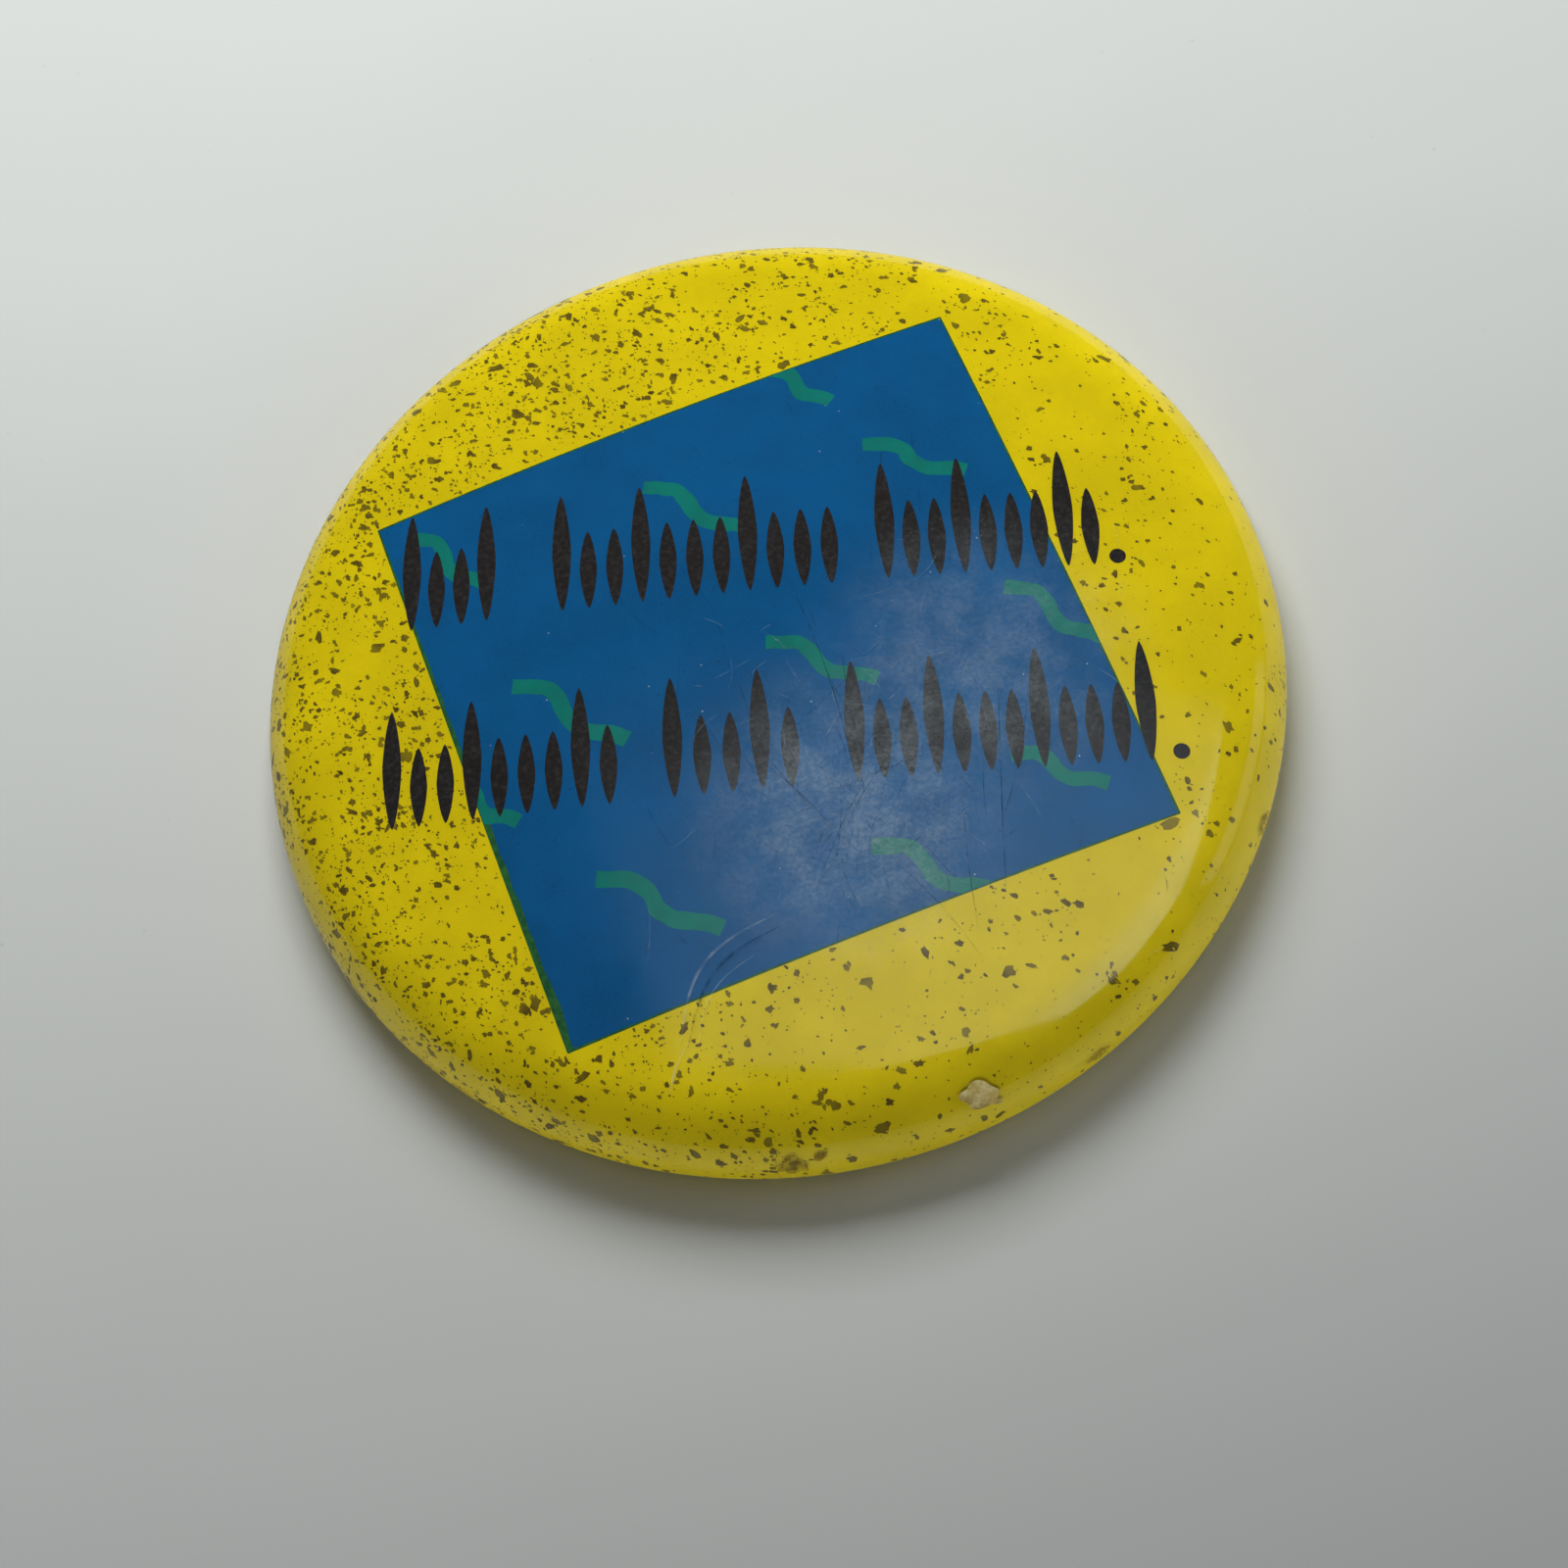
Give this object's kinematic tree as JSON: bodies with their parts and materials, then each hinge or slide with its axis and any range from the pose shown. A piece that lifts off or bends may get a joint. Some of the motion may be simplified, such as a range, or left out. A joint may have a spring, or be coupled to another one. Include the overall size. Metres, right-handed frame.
{
  "type": "button badge",
  "caption": "Round pin-back button badge: a domed tinplate shell wrapped in printed paper and clear film, with a dished back plate and a sprung wire pin.",
  "frame": {"origin": "centre of the badge, on the plane that its rim stands on when it lies face up", "axes": "+Z out of the face, +X along the rows of the print and along the closed pin towards its point, +Y up the print"},
  "size_m": [0.057, 0.057, 0.0074],
  "materials": {
    "film": "clear glossy polyester film, lightly scratched",
    "print": "bright yellow printed paper with dark specks and a blue square",
    "tinplate": "bright rolled tinplate",
    "spring_wire": "nickel-plated drawn wire"
  },
  "bodies": {
    "badge": {"clear_film": "film", "printed_paper": "print", "shell": "tinplate", "back_plate": "tinplate", "pin_spring": "spring_wire"},
    "pin": {"pin_arm": "spring_wire"}
  },
  "joints": [
    {"name": "pin_hinge", "type": "hinge", "parent": "badge", "child": "pin", "pos_m": [-0.0174, -0.00095, 0.00215], "axis": [0, 0.5, 0.866], "range_deg": [0, 40]}
  ]
}
